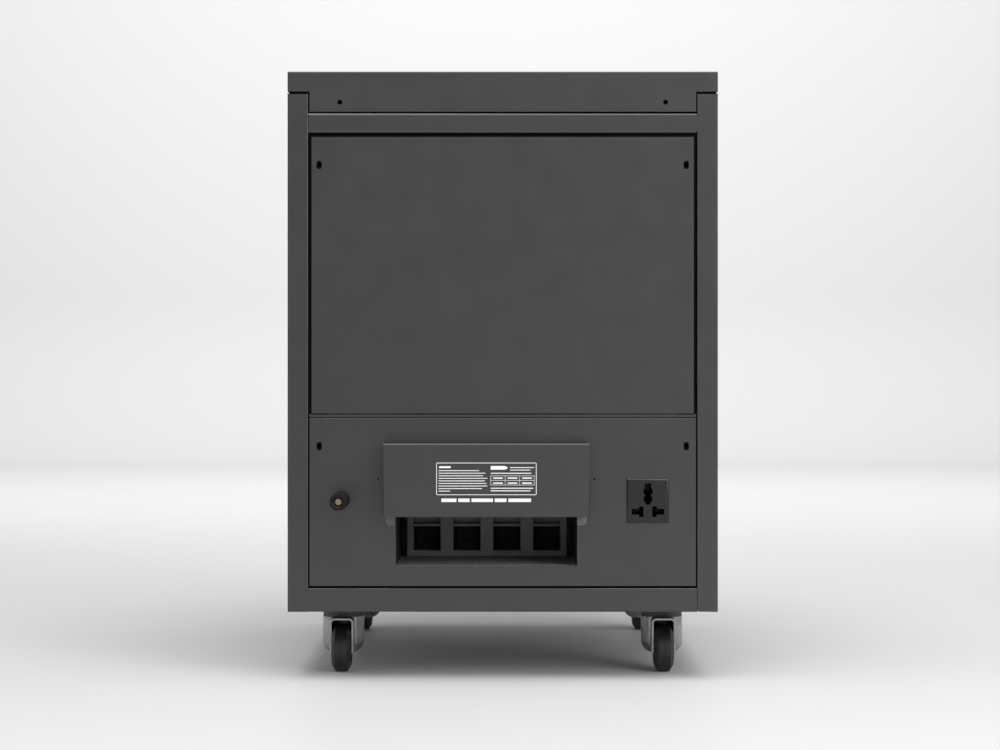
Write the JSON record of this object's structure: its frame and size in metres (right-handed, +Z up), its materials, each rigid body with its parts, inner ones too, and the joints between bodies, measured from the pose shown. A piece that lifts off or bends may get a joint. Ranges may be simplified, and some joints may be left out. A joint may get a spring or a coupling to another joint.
{
  "type": "floor-standing power cabinet",
  "caption": "Dark steel power cabinet on swivel castors, with a lift-up terminal cover, an earth post and an AC outlet on its rear panel.",
  "frame": {"origin": "on the floor, under the centre of the whole part's bounding box", "axes": "+Z up; -Y out of the rear face with the terminal cover, +Y out of the front face with the display, +X to the right when looking at the rear face"},
  "size_m": [0.45, 0.5956, 0.637],
  "materials": {
    "cabinet_paint": "fine satin powder coat",
    "inner_steel": "matt dark paint",
    "zinc_plate": "bright zinc plate",
    "black_moulding": "moulded, fine texture",
    "display_glass": "clear window over a dark display",
    "brass": "turned",
    "copper_wire": "enamelled copper wire",
    "core_steel": "varnished electrical steel",
    "grey_button": "moulded",
    "breaker_moulding": "moulded",
    "black_lever": "moulded",
    "cast_arm": "cast, with a carbon brush",
    "motor_paint": "painted",
    "circuit_board": "solder mask",
    "black_screw": "black oxide",
    "wheel_rubber": "moulded rubber tread"
  },
  "bodies": {
    "cabinet": {"post_rear_left": "cabinet_paint", "post_rear_right": "cabinet_paint", "post_front_left": "cabinet_paint", "post_front_right": "cabinet_paint", "bottom_rails": "cabinet_paint", "top_rails": "cabinet_paint", "base_plate": "cabinet_paint", "lid": "cabinet_paint", "rear_upper_panel": "cabinet_paint", "rear_lower_panel": "cabinet_paint", "side_panel_left": "cabinet_paint", "side_panel_right": "cabinet_paint", "front_panel": "cabinet_paint", "shelf": "inner_steel", "shelf_rails": "inner_steel", "cover_hinge_pin": "zinc_plate", "cover_brackets": "zinc_plate", "cable_tray": "inner_steel", "terminal_block": "black_moulding", "terminal_clamps": "black_screw", "terminal_screws": "zinc_plate", "outlet_body": "black_moulding", "outlet_shutters": "black_moulding", "earth_stud": "brass", "earth_collar": "black_moulding", "display_bezel": "black_moulding", "display_lens": "display_glass", "breaker_body": "breaker_moulding", "transformer_core": "core_steel", "transformer_coil": "copper_wire", "ring_core": "core_steel", "ring_winding": "copper_wire", "ring_column": "black_moulding", "motor_bridge": "zinc_plate", "servo_motor": "motor_paint", "control_board": "circuit_board", "castor_plates": "inner_steel", "castor_kingpins": "zinc_plate", "panel_screws": "black_screw", "fixing_bolts": "zinc_plate"},
    "cover": {"terminal_cover": "cabinet_paint"},
    "earth_washer": {"earth_washer": "brass"},
    "earth_knob": {"earth_knob": "black_moulding"},
    "breaker_lever": {"breaker_lever": "black_lever"},
    "brush": {"brush_arm": "cast_arm", "brush_shaft": "zinc_plate"},
    "button_left": {"button_left": "grey_button"},
    "button_right": {"button_right": "grey_button"},
    "fork_rear_left": {"castor_fork_rear_left": "zinc_plate", "castor_axle_rear_left": "zinc_plate"},
    "wheel_rear_left": {"castor_wheel_rear_left": "wheel_rubber"},
    "fork_rear_right": {"castor_fork_rear_right": "zinc_plate", "castor_axle_rear_right": "zinc_plate"},
    "wheel_rear_right": {"castor_wheel_rear_right": "wheel_rubber"},
    "fork_front_left": {"castor_fork_front_left": "zinc_plate", "castor_axle_front_left": "zinc_plate"},
    "wheel_front_left": {"castor_wheel_front_left": "wheel_rubber"},
    "fork_front_right": {"castor_fork_front_right": "zinc_plate", "castor_axle_front_right": "zinc_plate"},
    "wheel_front_right": {"castor_wheel_front_right": "wheel_rubber"}
  },
  "joints": [
    {"name": "cover_hinge", "type": "hinge", "parent": "cabinet", "child": "cover", "pos_m": [-0.0172, -0.2562, 0.244], "axis": [-1, 0, 0], "range_deg": [0, 90]},
    {"name": "earth_washer_slide", "type": "slide", "parent": "cabinet", "child": "earth_washer", "axis": [0, -1, 0], "range_m": [0, 0.0051]},
    {"name": "earth_knob_spin", "type": "hinge", "parent": "earth_washer", "child": "earth_knob", "pos_m": [-0.1688, -0.2792, 0.1894], "axis": [0, -1, 0], "range_deg": [0, 1440]},
    {"name": "breaker_toggle", "type": "hinge", "parent": "cabinet", "child": "breaker_lever", "pos_m": [0.128, 0.2845, 0.5068], "axis": [1, 0, 0], "range_deg": [0, 70]},
    {"name": "brush_turn", "type": "hinge", "parent": "cabinet", "child": "brush", "pos_m": [0, 0.0198, 0.42], "axis": [0, 0, 1], "range_deg": [-160, 160]},
    {"name": "button_left_press", "type": "slide", "parent": "cabinet", "child": "button_left", "axis": [0, -1, 0], "range_m": [0, 0.0012], "stiffness_N_per_m": 500, "springref_m": -0.0005},
    {"name": "button_right_press", "type": "slide", "parent": "cabinet", "child": "button_right", "axis": [0, -1, 0], "range_m": [0, 0.0012], "stiffness_N_per_m": 500, "springref_m": -0.0005},
    {"name": "swivel_rear_left", "type": "hinge", "parent": "cabinet", "child": "fork_rear_left", "pos_m": [-0.1735, -0.1482, 0.06], "axis": [0, 0, 1], "continuous": true},
    {"name": "roll_rear_left", "type": "hinge", "parent": "fork_rear_left", "child": "wheel_rear_left", "pos_m": [-0.1735, -0.1732, 0.0254], "axis": [1, 0, 0], "continuous": true},
    {"name": "swivel_rear_right", "type": "hinge", "parent": "cabinet", "child": "fork_rear_right", "pos_m": [0.1735, -0.1482, 0.06], "axis": [0, 0, 1], "continuous": true},
    {"name": "roll_rear_right", "type": "hinge", "parent": "fork_rear_right", "child": "wheel_rear_right", "pos_m": [0.1735, -0.1732, 0.0254], "axis": [1, 0, 0], "continuous": true},
    {"name": "swivel_front_left", "type": "hinge", "parent": "cabinet", "child": "fork_front_left", "pos_m": [-0.1735, 0.1878, 0.06], "axis": [0, 0, 1], "continuous": true},
    {"name": "roll_front_left", "type": "hinge", "parent": "fork_front_left", "child": "wheel_front_left", "pos_m": [-0.1735, 0.2128, 0.0254], "axis": [1, 0, 0], "continuous": true},
    {"name": "swivel_front_right", "type": "hinge", "parent": "cabinet", "child": "fork_front_right", "pos_m": [0.1735, 0.1878, 0.06], "axis": [0, 0, 1], "continuous": true},
    {"name": "roll_front_right", "type": "hinge", "parent": "fork_front_right", "child": "wheel_front_right", "pos_m": [0.1735, 0.2128, 0.0254], "axis": [1, 0, 0], "continuous": true}
  ],
  "couplings": [
    {"joint": "earth_washer_slide", "follows": "earth_knob_spin", "m_per_rad": 0.00019894}
  ]
}
